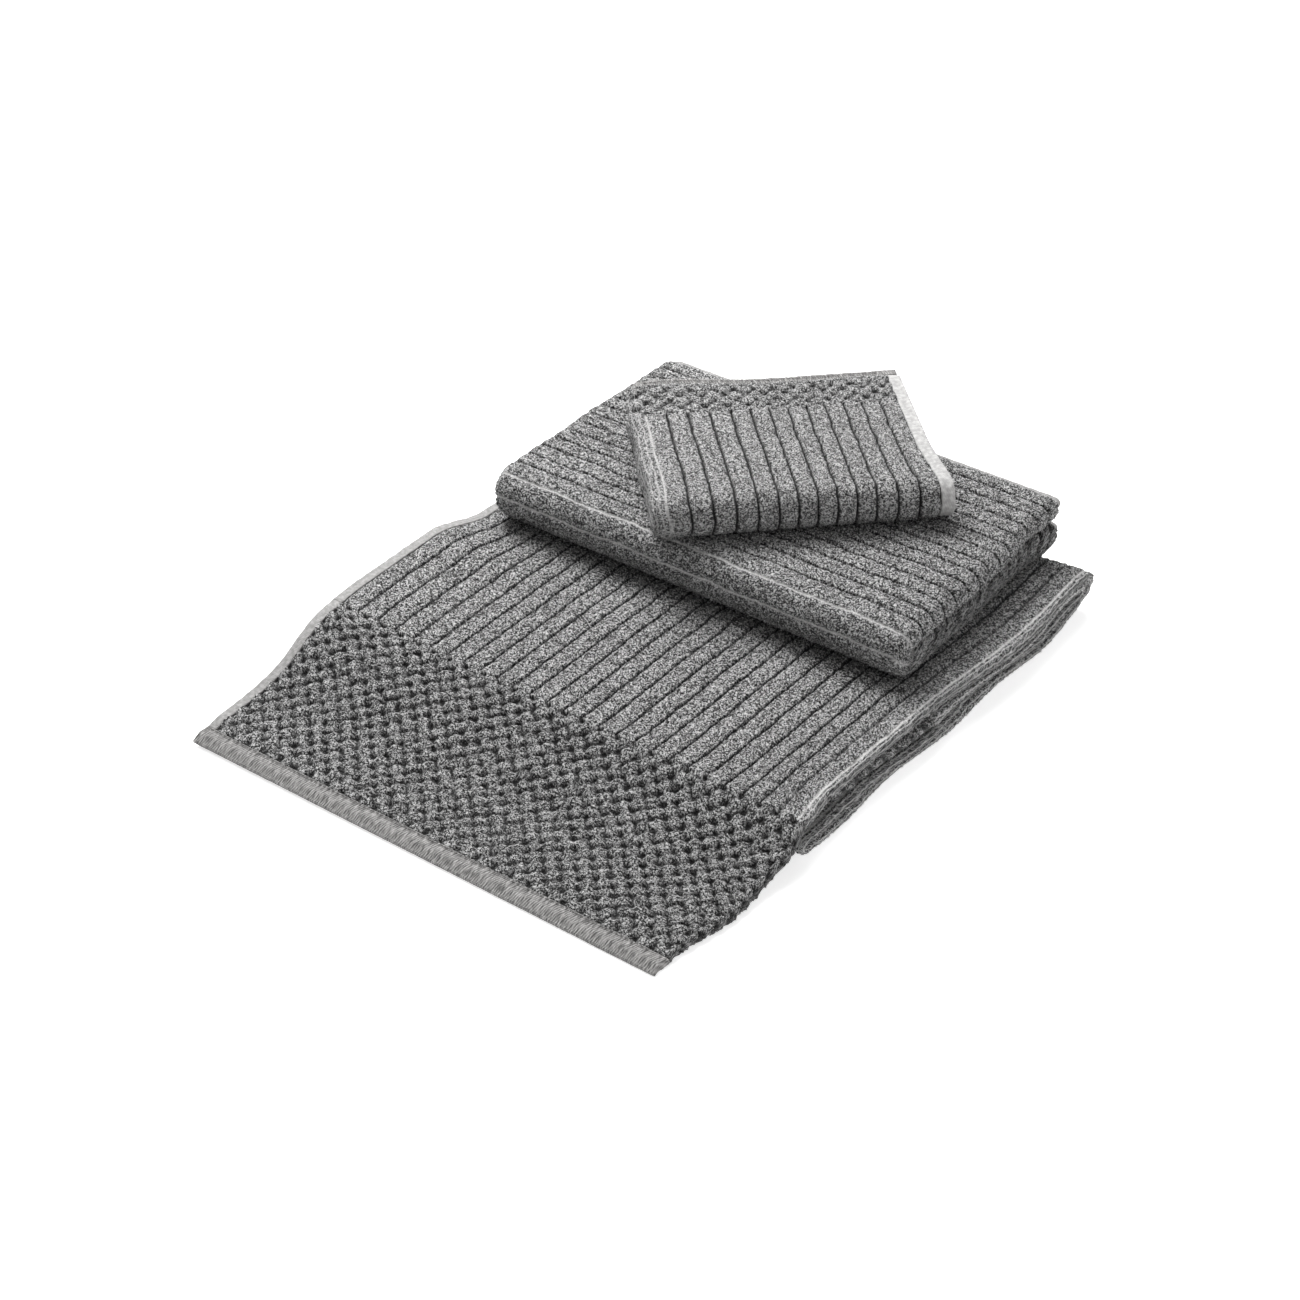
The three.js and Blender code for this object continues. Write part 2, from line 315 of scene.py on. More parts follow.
def slab(name, cloth, patches, inner, pile, seed, fuzz=FUZZ, squeeze=plain, sink=level):
    """A closed piece of cloth. Patches are (s, v) lines that follow one another along s; inner is the
    (s, v) lines of the back of the cloth. Pile is one of the patterns below."""
    rng = np.random.default_rng(seed)
    points, flats, skins, groove_shades, pales, grids = [], [], [], [], [], []
    count = 0

    def add(s, v, depth, groove, pale):
        nonlocal count
        place = cloth.points(s, v, depth, squeeze, sink)
        su, vu = cloth.flat(s, v)
        points.append(place.reshape(-1, 3))
        flats.append(np.stack([su, vu, np.zeros(su.shape)], -1).reshape(-1, 3))
        sk, vk = cloth.skin(s, v)
        skins.append(np.stack([sk, vk, np.full(sk.shape, seed * 37.0)], -1).reshape(-1, 3))
        groove_shades.append(np.broadcast_to(groove, su.shape).ravel())
        pales.append(np.broadcast_to(pale, su.shape).ravel())
        grid = np.arange(len(s) * len(v)).reshape(len(s), len(v)) + count
        count += len(s) * len(v)
        return grid

    for s, v in patches:
        su, vu = cloth.flat(s, v)
        recess, groove, pale = pile(su, vu)
        rough = np.clip(rng.normal(0, 1, su.shape), -2.2, 2.2) * fuzz
        rough = rough - fuzz * 0.8
        depth = cloth.leaf / 2 - recess + rough
        depth = np.maximum(depth, -cloth.leaf / 2 + THINNEST)
        grids.append(add(s, v, depth, groove, pale))
    back_s, back_v = inner
    under = add(back_s, back_v, np.full((len(back_s), len(back_v)), -cloth.leaf / 2), 0.0, 0.0)

    faces = [grid_faces(g) for g in grids] + [grid_faces(under)[:, ::-1]]
    polygons = []
    for (one, two), (g, h) in zip(zip(patches, patches[1:]), zip(grids, grids[1:])):
        polygons += strip_faces(one[1], g[-1], two[1], h[0])
    first, last = patches[0], patches[-1]
    polygons += strip_faces(back_v, under[0], first[1], grids[0][0])
    polygons += strip_faces(last[1], grids[-1][-1], back_v, under[-1])
    rim_s = np.concatenate([p[0] for p in patches])
    low = np.concatenate([g[:, 0] for g in grids])
    high = np.concatenate([g[:, -1] for g in grids])
    polygons += strip_faces(rim_s, low, back_s, under[:, 0])
    polygons += strip_faces(back_s, under[:, -1], rim_s, high)
    quads = np.concatenate(faces)
    corners = np.concatenate(points)

    # The faces are turned so that they look away from the back.
    g = grids[0]
    i, j = g.shape[0] // 2, g.shape[1] // 2
    a, b, c = corners[g[i, j]], corners[g[i + 1, j]], corners[g[i, j + 1]]
    middle = cloth.points(np.array([patches[0][0][i]]), np.array([patches[0][1][j]]),
                          np.full((1, 1), -cloth.leaf / 2), squeeze, sink)[0, 0]
    if np.dot(np.cross(b - a, c - a), a - middle) < 0:
        quads = quads[:, ::-1]
        polygons = [p[::-1] for p in polygons]
    values = {
        "flat": np.concatenate(flats),
        "skin": np.concatenate(skins),
        # The painted shade in grooves and pits, which the terry material draws.
        "groove": np.concatenate(groove_shades),
        "pale": np.concatenate(pales),
    }
    return make_mesh(name, corners, quads, polygons, values)


# Pile patterns: how far each point lies below the crowns, how deep it is in a groove (which the material
# paints as shade) and how much pale ground shows there.
def ribs(across, along, first, pitch, deep, opened, seed):
    """Soft rounded ribs with a narrow groove between two of them. Opened is 1 where the cloth bends."""
    wobble = 0.32 * ripple(along, across * 0.15, 34.0, seed)
    wobble = wobble + 0.16 * ripple(along, across * 0.6, 9.0, seed + 1)
    place = (across + wobble - first) / pitch
    away = np.abs(place - np.round(place)) * pitch
    width = 0.64 + 0.3 * opened
    depth = deep * (1 + 0.22 * ripple(along, across, 17.0, seed + 2)) * (1 - 0.8 * opened)
    groove = np.exp(-((away / width) ** 2))
    pillow = np.clip(1 - away / (pitch / 2), 0, 1) ** 2.6
    recess = depth * groove + 0.36 * pillow + 0.12 * (1 + ripple(across, along, 6.0, seed + 3))
    pale = opened * np.exp(-((away / 0.55) ** 2))
    # Painted shade: the material darkens the colour near each groove, less where an opened fold shows the
    # pale ground.
    shade = np.exp(-((away / 0.8) ** 4))
    return recess, shade * (1 - opened), pale


def creases(recess, groove, pale, away, places):
    """Shallow valleys where a fold pulls the loops apart; the material draws the bare ground there."""
    for place, share in places:
        valley = share * np.exp(-(((away - place) / 0.6) ** 2))
        recess = recess + 0.3 * valley
        # The painted groove shade is taken off in the valleys.
        groove = groove * (1 - valley)
    return recess, groove, pale


def blocks(across, along, first, deep, seed, size=RIB):
    """Small staggered blocks: pits on a diamond lattice, joined by zigzag grooves."""
    half = size / 2
    a = (across - first + 0.35 * ripple(across, along, 11.0, seed)) / half
    b = (along + 0.35 * ripple(along, across, 11.0, seed + 1)) / half
    fold_a = np.abs(a - 2 * np.round(a / 2))
    strong = b - fold_a
    strong = np.abs(strong - 2 * np.round(strong / 2)) * half * math.sqrt(0.5)
    weak = b + fold_a
    weak = np.abs(weak - 2 * np.round(weak / 2)) * half * math.sqrt(0.5)
    u, w = (a + b) / 2, (a - b) / 2
    pit = np.hypot(u - np.round(u), w - np.round(w)) * half * math.sqrt(2)
    lively = 1 + 0.45 * ripple(across, along, 7.0, seed + 2)
    hole = np.exp(-((pit / 1.9) ** 2)) * lively
    groove = np.exp(-((strong / 0.85) ** 2)) * 0.7 * lively
    joint = np.exp(-((weak / 0.7) ** 2)) * 0.28 * lively
    # dark sets both how deep the pits and zigzag grooves sink and the painted shade that the material puts
    # in them.
    dark = np.clip(hole + groove + joint, 0, 1.25)
    recess = deep * dark + 0.15 * (1 + ripple(across, along, 5.0, seed + 3))
    return recess, np.clip(dark, 0, 1), np.zeros_like(dark)


def flat_weave(across, along, seed):
    """A flat woven band with fine cords across it."""
    waver = 0.8 * ripple(across, along, 9.0, seed)
    cords = 0.5 + 0.5 * np.cos(2 * math.pi * (across + 0.3 * along) / 1.6 + waver)
    recess = 0.18 * cords + 0.12 * (1 + ripple(across, along, 14.0, seed))
    # The second value, 0.3 of the cords, is a painted shade mask for the hollows between cords; the woven
    # material doesn't read it.
    return recess, 0.3 * cords, np.zeros_like(cords)


def rib_lines(first, pitch, start, end, fine=True):
    """Lines across the ribs, close together at each groove."""
    near = NEAR_GROOVE if fine else (-1.0, 0.0, 1.0)
    step = 1.15 if fine else 4.6
    low = math.floor((start - first) / pitch)
    high = math.ceil((end - first) / pitch)
    out = []
    for k in range(low, high + 1):
        groove = first + k * pitch
        out.append([groove + d for d in near])
        out.append(spread(groove + near[-1], groove + pitch + near[0], step)[1:-1])
    lines = merged(*out)
    lines = lines[(lines > start + 0.25) & (lines < end - 0.25)]
    return merged([start], lines, [end])


def thinned(lines, every):
    """One line in so many, and always the first and the last."""
    return merged(lines[::every], [lines[0], lines[-1]])


# Materials.
class Shader:
    """A material under construction, with short names for its nodes."""

    def __init__(self, name):
        self.material = bpy.data.materials.new(name)
        self.material.use_nodes = True
        self.tree = self.material.node_tree
        self.tree.nodes.clear()
        self.out = self.node("OutputMaterial")
        self.main = self.node("BsdfPrincipled")
        self.link(self.main.outputs[0], self.out.inputs["Surface"])

    def node(self, kind, **settings):
        made = self.tree.nodes.new("ShaderNode" + kind)
        for key, value in settings.items():
            setattr(made, key, value)
        return made

    def link(self, output, socket):
        self.tree.links.new(output, socket)

    def surface(self, **values):
        for key, value in values.items():
            self.main.inputs[key.replace("_", " ")].default_value = value

    def attribute(self, name):
        return self.node("Attribute", attribute_name=name)

    def scaled(self, vector, by):
        made = self.node("VectorMath", operation="MULTIPLY")
        self.link(vector, made.inputs[0])
        made.inputs[1].default_value = by
        return made.outputs[0]

    def noise(self, vector, scale, detail=2.0, roughness=0.6):
        made = self.node("TexNoise")
        made.inputs["Scale"].default_value = scale
        made.inputs["Detail"].default_value = detail
        made.inputs["Roughness"].default_value = roughness
        self.link(vector, made.inputs["Vector"])
        return made.outputs["Fac"]

    def cells(self, vector, scale, output="Color"):
        made = self.node("TexVoronoi", feature="F1")
        made.inputs["Scale"].default_value = scale
        self.link(vector, made.inputs["Vector"])
        return made.outputs[output]

    def math(self, kind, one, two):
        made = self.node("Math", operation=kind)
        for socket, value in zip(made.inputs, (one, two)):
            if isinstance(value, (int, float)):
                socket.default_value = value
            else:
                self.link(value, socket)
        return made.outputs[0]

    def plus(self, one, two):
        return self.math("ADD", one, two)

    def times(self, one, two):
        return self.math("MULTIPLY", one, two)

    def ramp(self, value, stops):
        made = self.node("ValToRGB")
        points = made.color_ramp.elements
        while len(points) < len(stops):
            points.new(0.5)
        for point, (position, tone) in zip(points, stops):
            point.position = position
            point.color = (*tone, 1.0)
        self.link(value, made.inputs["Fac"])
        return made.outputs["Color"]

    def mix(self, factor, one, two):
        made = self.node("Mix", data_type="RGBA", blend_type="MIX")
        sockets = (made.inputs["Factor"], made.inputs[6], made.inputs[7])
        for socket, value in zip(sockets, (factor, one, two)):
            if isinstance(value, (int, float)):
                socket.default_value = value
            elif isinstance(value, tuple):
                socket.default_value = (*value, 1.0)
            else:
                self.link(value, socket)
        return made.outputs[2]

    def bump(self, height, strength, distance, below=None):
        made = self.node("Bump")
        made.inputs["Strength"].default_value = strength
        made.inputs["Distance"].default_value = distance
        self.link(height, made.inputs["Height"])
        if below is not None:
            self.link(below, made.inputs["Normal"])
        return made.outputs["Normal"]


def grey(value, warm=0.0):
    return (value * (1 + warm), value, value * (1 - warm))


def crease_mask(sh, fold):
    """Bare ground in thin wandering lines beside a fold, from each line's distance to the fold."""
    middle, lines, width = fold
    flat = sh.attribute("flat").outputs["Vector"]
    reach = 10.0
    split = sh.node("SeparateXYZ")
    sh.link(flat, split.inputs[0])
    away = sh.math("ABSOLUTE", sh.math("SUBTRACT", split.outputs[0], middle), 0.0)
    wander = sh.noise(sh.scaled(flat, (0.02, 0.09, 0.0)), 1.0, 2.0)
    away = sh.plus(away, sh.times(sh.math("SUBTRACT", wander, 0.5), 2.2))
    stops = [(0.0, grey(0.0))]
    for place, share in lines:
        stops.append(((place - width) / reach, grey(0.0)))
        stops.append((place / reach, grey(share)))
        stops.append(((place + width) / reach, grey(0.0)))
    return sh.ramp(sh.math("DIVIDE", away, reach), [s for s in stops if s[0] >= 0])


def terry(name, dark=0.003, mid=0.078, light=0.62, pale=0.8, fold=None):
    """Heathered loops: each loop has its own grey, and groove floors get painted shade, almost black."""
    sh = Shader(name)
    skin = sh.attribute("skin").outputs["Vector"]
    loops = sh.node("SeparateColor")
    sh.link(sh.cells(skin, 1.4), loops.inputs[0])
    specks = sh.node("SeparateColor")
    sh.link(sh.cells(skin, 2.2), specks.inputs[0])
    grain = sh.noise(skin, 3.0, 2.0, 0.6)
    broad = sh.noise(skin, 0.2, 2.0)
    own = sh.times(loops.outputs[0], 0.55)
    value = sh.plus(own, sh.times(specks.outputs[1], 0.4))
    tuft = sh.plus(value, sh.times(grain, 0.2))
    value = sh.plus(tuft, sh.times(broad, 0.07))
    stops = [(0.36, grey(dark, 0.01)), (0.6, grey(mid, 0.008)), (0.88, grey(light, 0.004))]
    colour = sh.ramp(value, stops)
    # Painted shade: the colour goes almost black where the groove attribute marks a groove or pit.
    groove = sh.attribute("groove").outputs["Fac"]
    colour = sh.mix(sh.times(groove, 0.97), colour, grey(0.003))
    opened = sh.attribute("pale").outputs["Fac"]
    if fold:
        opened = sh.math("MAXIMUM", opened, crease_mask(sh, fold))
    colour = sh.mix(sh.times(opened, 0.9), colour, grey(pale, 0.01))
    sh.link(colour, sh.main.inputs["Base Color"])
    domes = sh.times(sh.cells(skin, 1.4, "Distance"), -1.0)
    first = sh.bump(domes, 0.7, 0.0009)
    second = sh.bump(tuft, 0.9, 0.0012, first)
    sh.link(second, sh.main.inputs["Normal"])
    sh.surface(Roughness=0.92, Specular_IOR_Level=0.12, Sheen_Weight=0.08, Sheen_Roughness=0.6)
    return sh.material


def woven(name, tone, warm, pitch, slant, depth=0.35, contrast=0.2, streak=(1.0, 0.18, 0.0), calm=False):
    """A flat woven band: fine cords with a slight slant and a little heather."""
    sh = Shader(name)
    skin = sh.attribute("skin").outputs["Vector"]
    axis = sh.node("VectorMath", operation="DOT_PRODUCT")
    sh.link(skin, axis.inputs[0])
    axis.inputs[1].default_value = (2 * math.pi / pitch, 2 * math.pi / pitch * slant, 0)
    wave = sh.node("Math", operation="SINE")
    waver = sh.times(sh.noise(skin, 0.5), 3.0)
    sh.link(sh.plus(axis.outputs["Value"], waver), wave.inputs[0])
    cords = sh.plus(sh.times(wave.outputs[0], 0.5), 0.5)
    grain = sh.noise(skin, 2.2, 3.0, 0.7)
    streaks = sh.noise(sh.scaled(skin, streak), 1.0, 2.0, 0.6)
    value = sh.plus(sh.times(cords, contrast), sh.times(grain, 0.35))
    value = sh.plus(value, sh.times(streaks, 1.3))
    value = sh.math("SUBTRACT", value, 0.52)
    low, high = (0.75, 1.25) if calm else (0.35, 1.7)
    stops = [(0.22, grey(tone * low, warm)), (0.45, grey(tone, warm)), (0.68, grey(tone * high, warm))]
    colour = sh.ramp(value, stops)
    sh.link(colour, sh.main.inputs["Base Color"])
    first = sh.bump(cords, depth, 0.0004)
    second = sh.bump(grain, 0.4, 0.0003, first)
    sh.link(second, sh.main.inputs["Normal"])
    sh.surface(Roughness=0.85, Specular_IOR_Level=0.2, Sheen_Weight=0.1)
    return sh.material


def floor_material():
    sh = Shader("pale_floor")
    place = sh.node("TexCoord").outputs["Object"]
    colour = sh.ramp(sh.noise(place, 3.0), [(0.3, grey(0.86)), (0.7, grey(0.88))])
    sh.link(colour, sh.main.inputs["Base Color"])
    sh.surface(Roughness=0.9, Specular_IOR_Level=0.1, Emission_Color=(1, 1, 1, 1), Emission_Strength=0.6)
    return sh.material


TERRY_LOOKS = {
    "bath_rib_terry": {"fold": (BATH_MIDDLE, BATH_CREASES, 0.32)},
    "bath_block_terry": {},
    "hand_rib_terry": {},
    "hand_block_terry": {},
    # The washcloth's terry is painted lighter than the same terry on the other two towels: painted light,
    # for its top that lies highest and catches the most light.
    "wash_rib_terry": {"dark": 0.012, "mid": 0.15, "light": 0.6, "pale": 0.6,
                       "fold": (WASH_MIDDLE, WASH_CREASES, 0.38)},
    "wash_block_terry": {"dark": 0.007, "mid": 0.13, "light": 0.62, "pale": 0.45,
                         "fold": (WASH_MIDDLE, WASH_CREASES, 0.35)},
}
WOVEN_LOOKS = {
    "hem_weave": {"tone": 0.21, "warm": 0.02, "pitch": 1.6, "slant": 0.3},
    "selvedge_weave": {"tone": 0.27, "warm": 0.015, "pitch": 1.4, "slant": 0.4, "depth": 0.3,
                       "contrast": 0.15, "streak": (0.4, 0.4, 0.0), "calm": True},
    "wash_selvedge_weave": {"tone": 0.4, "warm": 0.012, "pitch": 1.4, "slant": 0.4, "depth": 0.25,
                            "contrast": 0.1, "streak": (0.3, 0.3, 0.0), "calm": True},
    "sewing_thread": {"tone": 0.17, "warm": 0.02, "pitch": 0.5, "slant": 1.0, "depth": 0.6},
}
MATERIALS = {name: terry(name, **look) for name, look in TERRY_LOOKS.items()}
MATERIALS.update({name: woven(name, **look) for name, look in WOVEN_LOOKS.items()})


SEWN = {"bath": [], "hand": [], "wash": []}


def finish(piece, node, slot, body):
    """Names a piece after its node, and gives it its material and its body."""
    piece.name = node + ("_thread" if slot == "sewing_thread" else "_cloth")
    piece.data.materials.append(MATERIALS[slot])
    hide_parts(node)
    if not slot.endswith("terry"):
        SEWN[node[:4]].append(piece)
    if body == "front":
        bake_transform(piece)
    else:
        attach(piece, body)
    return piece


# Bath towel.
def bath_profile(width, leaf_shift, leaf):
    centre = width - leaf_shift - leaf / 2
    return Guide(
        line(0, leaf_shift, centre, leaf_shift),
        bend(centre, 0, leaf_shift, 90, -90),
        line(centre, -leaf_shift, 0, -leaf_shift),
    )


def bath_route():
    fourth, third, second, first = HEIGHTS
    slope = spline([(-reach, height) for reach, height in DRAPE], 40)
    return Guide(
        line(REAR_END, second, BACK_CENTRE, second),
        bend(BACK_CENTRE, (second + third) / 2, PITCH / 2, 90, -90),
        line(BACK_CENTRE, third, FRONT_CENTRE, third),
        bend(FRONT_CENTRE, (third + fourth) / 2, PITCH / 2, 90, 270),
        line(FRONT_CENTRE, fourth, BACK_CENTRE, fourth),
        bend(BACK_CENTRE, (first + fourth) / 2, (first - fourth) / 2, -90, 90),
        line(BACK_CENTRE, first, -2, first),
        slope,
        line(-118, fourth, FLAP_END, fourth),
    )


def drape_at(table, y):
    """Height of the loose end at y, from a table of heights."""
    curve = spline(table)
    return np.interp(-y, curve[:, 0], curve[:, 1])


BATH_PROFILE = bath_profile(BATH_WIDTH, BATH_SHIFT, BATH_LEAF)
BATH_ROUTE = bath_route()
SPAN = BACK_CENTRE - REAR_END
FRONT_V = SPAN + math.pi * PITCH / 2
RUN_THIRD = BACK_CENTRE - FRONT_CENTRE
OUTER_START = FRONT_V + RUN_THIRD * 2 + math.pi * PITCH / 2
TOP_V = OUTER_START + math.pi * (HEIGHTS[3] - HEIGHTS[0]) / 2
CREST_V = TOP_V + BACK_CENTRE
HEM_V = BATH_ROUTE.end - HEM


def bath_place(x, y, z, s, v):
    """Small real unevenness: the left edge wanders, the loose end narrows and its hem runs aslant."""
    x, y, z = own_copies(x, y, z)
    on_top = v > TOP_V
    loose = rise(CREST_V - 12, CREST_V + 8, v)
    middle = drape_at([(0, HEIGHTS[3])] + DRAPE + [(130, 3.5)], y)
    share = np.clip(x / FLAP_WIDTH, 0, 1)
    sides = drape_at(LEFT_DRAPE, y) * (1 - share) + drape_at(RIGHT_DRAPE, y) * share
    lift = (v > CREST_V) * (sides - middle)
    tucked = 1 - rise(14, 50, v)
    x -= tucked * 7.0 * rise(290, 345, x)
    # The left edge, puffed where it meets the crest.
    left = np.interp(y, [-140, 10, 73, 125], [4.0, 4.4, 1.6, 0.0])
    x += left * np.clip(1 - (x - BATH_FIRST) / 331.5, 0, 1)
    puffed = on_top * rise(-62, 22, y) * (1 - rise(88, 128, y)) * (1 - rise(0, 80, x))
    x -= 8.5 * puffed
    z += 3.4 * puffed
    x -= (x / BATH_WIDTH) * (1.5 * loose + 8.5 * rise(-30, -128, y) * loose)
    # The side fold on the right, bowed in at the front and drawn in at the rear.
    right = rise(285, 345, x)
    bow = rise(-16, 30, y) * (1 - rise(50, 240, y)) * rise(8, 26, z)
    under = (1 - rise(5, 25, z)) * (v < TOP_V)
    rear = rise(235, 298, y)
    x += right * (1.3 * ripple(y, z * 3.0, 75.0, 11) - 1.2 - 6.5 * bow - 4.5 * under - 2.5 * rear)
    y += 2.5 * right * rear
    z += 2.0 * right * rear * rise(6, 22, z)
    # The crest and the hem run aslant.
    crest = -4.0 * (1 - x / BATH_WIDTH)
    hem = 0.6 + 9.0 * x / FLAP_WIDTH
    near = rise(70, 0, y) * on_top
    down = rise(0, -115, y)
    y += near * (crest * (1 - down) + hem * down)
    z = np.maximum(z + lift, 0.05)
    return np.stack([x, y, z], -1) - ROW_SHIFT


BATH = Cloth(BATH_PROFILE, BATH_ROUTE, BATH_LEAF, bath_place)
BATH_FULL = BATH_PROFILE.end
REAR_FIELD = HEM + BORDER + HAIR


def at_bath_fold(s):
    """1 at the side fold, 0 away from it."""
    middle = BATH_PROFILE.end / 2
    return 1 - rise(6.5, 9.5, np.abs(s - middle))


def bath_rib_pile(s, v):
    mirrored = np.minimum(s, BATH_PROFILE.end - s)
    found = ribs(mirrored, v, BATH_FIRST, BATH_RIB, 2.2, at_bath_fold(s), 21)
    away = np.abs(s - BATH_PROFILE.end / 2) + 0.3 * ripple(v, s, 40.0, 23)
    return creases(*found, away, BATH_CREASES)


def bath_block_pile(s, v):
    mirrored = np.minimum(s, BATH_PROFILE.end - s)
    return blocks(mirrored, v - CREST_V, BATH_FIRST, 2.4, 31)


def selvedge_pile(s, v):
    return flat_weave(v, s, 41)


def hem_pile(s, v):
    return flat_weave(s, v, 43)


def bath_s_lines(start, end, fine=True):
    return rib_lines(BATH_FIRST, BATH_RIB, start, end, fine)


def bath_v_lines(start, end, step=1.2):
    """Lines along the whole route, at an even step between the ends of its bends."""
    stops = [0, SPAN, FRONT_V, FRONT_V + RUN_THIRD, OUTER_START - RUN_THIRD, OUTER_START]
    stops += [TOP_V, CREST_V, HEM_V]
    stops = [start] + [k for k in stops if start + 0.5 < k < end - 0.5] + [end]
    return merged(*[spread(a, b, step) for a, b in zip(stops, stops[1:])])


def bath_field():
    start, end = REAR_FIELD, CREST_V - HAIR
    fine_v = bath_v_lines(start, end)
    far = thinned(fine_v, 5)
    top = fine_v[fine_v > OUTER_START - 2]
    near_v = merged(far, top)
    left = bath_s_lines(SELVEDGE + HAIR, 320)
    edge = merged(
        spread(321.2, BATH_FOLD, 1.2),
        spread(BATH_FOLD, BATH_FULL - BATH_FOLD, 0.6),
        spread(BATH_FULL - BATH_FOLD, BATH_FULL - 330, 1.2),
    )
    hidden = bath_s_lines(BATH_FULL - 328, BATH_FULL - SELVEDGE - HAIR, False)
    patches = [(left, near_v), (edge, fine_v), (hidden, far)]
    every = np.concatenate([p[0] for p in patches])
    back = (thinned(every, 5), far)
    return slab("bath_ribbed_field", BATH, patches, back, bath_rib_pile, 1)


def narrowing(v):
    """The cloth thins towards the hem."""
    return 1 - 0.3 * rise(HEM_V - 9, HEM_V, v)


def settling(v):
    """The cloth sinks towards the hem."""
    return -1.05 * rise(HEM_V - 9, HEM_V, v)


def bath_front_border():
    v = bath_v_lines(CREST_V + HAIR, HEM_V - HAIR, 1.05)
    s = spread(SELVEDGE + HAIR, BATH_FULL / 2 + 12, 1.1)
    hidden = spread(BATH_FULL / 2 + 13, BATH_FULL - SELVEDGE - HAIR, 4.0)
    far = thinned(v, 4)
    patches = [(s, v), (hidden, far)]
    back = (thinned(np.concatenate([s, hidden]), 4), far)
    return slab("bath_front_border", BATH, patches, back, bath_block_pile, 2, FUZZ, narrowing, settling)


def bath_rear_border():
    v = bath_v_lines(HEM + HAIR, HEM + BORDER - HAIR, 2.5)
    s = spread(SELVEDGE + HAIR, BATH_FULL - SELVEDGE - HAIR, 2.8)
    back = (thinned(s, 4), thinned(v, 4))
    return slab("bath_rear_border", BATH, [(s, v)], back, bath_block_pile, 3, 0.28)


def bath_selvedge(name, start, end, low, high, seed, squeeze=plain, sink=level):
    v = bath_v_lines(low, high, 1.3)
    s = spread(start, end, 0.9)
    back = (merged([s[0], s[len(s) // 2], s[-1]]), thinned(v, 4))
    thin = Cloth(BATH_PROFILE, BATH_ROUTE, SELVEDGE_LEAF, bath_place)
    return slab(name, thin, [(s, v)], back, selvedge_pile, seed, 0.08, squeeze, sink)


def bath_hem(name, low, high, seed, sink, squeeze):
    v = spread(low, high, 0.75)
    s = spread(0.0, BATH_FULL, 0.5)
    profile = bath_profile(BATH_WIDTH, BATH_HEM_SHIFT, BATH_HEM_LEAF)
    s = s * profile.end / BATH_FULL
    cloth = Cloth(profile, BATH_ROUTE, BATH_HEM_LEAF, bath_place)
    back = (thinned(s, 6), thinned(v, 4))
    return slab(name, cloth, [(s, v)], back, hem_pile, seed, 0.05, squeeze, sink)


def stitches(name, path, radius, seed):
    """A row of short rounded stitches along a measured path."""
    rng = np.random.default_rng(seed)
    around, rings = 8, 9
    points, faces, skins = [], [], []
    total = path[-1][0]
    keys = np.array([p[0] for p in path])
    places = np.array([p[1] for p in path])
    start = 0.0
    while start + STITCH < total:
        base = len(points)
        for i in range(rings):
            t = i / (rings - 1)
            d = start + STITCH * t
            centre = np.array([np.interp(d, keys, p) for p in places.T])
            ahead = np.array([np.interp(min(d + 0.5, total), keys, p) for p in places.T])
            run = ahead - centre
            run = run / max(np.linalg.norm(run), 1e-9)
            side = np.cross(run, (0, 0, 1))
            side = side / max(np.linalg.norm(side), 1e-9)
            up = np.cross(side, run)
            thick = radius * math.sqrt(max(1 - (2 * t - 1) ** 4, 0.04))
            lift = 0.25 * math.sin(math.pi * t)
            for j in range(around):
                angle = 2 * math.pi * j / around + 0.9 * t
                twist = 1 + 0.12 * math.cos(3 * angle)
                offset = side * math.cos(angle) * 1.25 + up * math.sin(angle)
                points.append(centre + offset * thick * twist + up * lift)
                skins.append((d, angle * radius, 0.0))
        for i in range(rings - 1):
            for j in range(around):
                k = (j + 1) % around
                faces.append([base + i * around + j, base + i * around + k,
                              base + (i + 1) * around + k, base + (i + 1) * around + j])
        faces.append([base + j for j in range(around)][::-1])
        faces.append([base + (rings - 1) * around + j for j in range(around)])
        start += STITCH + STITCH_GAP * rng.uniform(0.8, 1.2)
    quads = np.array([f for f in faces if len(f) == 4])
    ends = [f[::-1] for f in faces if len(f) != 4]
    return make_mesh(name, np.array(points), quads[:, ::-1], ends, {"skin": np.array(skins)})


def bath_stitch_path(v, height, sink):
    """A line across the outer leaf of a hem, on its outer face."""
    s = np.arange(4.0, 334.0, 2.0)
    where = BATH.points(s, np.array([v]), np.full((len(s), 1), height), plain, sink)[:, 0]
    return measured(where)


def front_hem_thin(v):
    return 1 - 0.55 * rise(HEM_V + 6.5, HEM_V + HEM, v)


def front_hem_sink(v):
    return -1.15 - 1.2 * rise(HEM_V + 6.5, HEM_V + HEM, v)


def rear_hem_thin(v):
    return 1 - 0.55 * rise(5.5, 0, v)


def rear_hem_sink(v):
    return 1.15 + 1.2 * rise(5.5, 0, v)


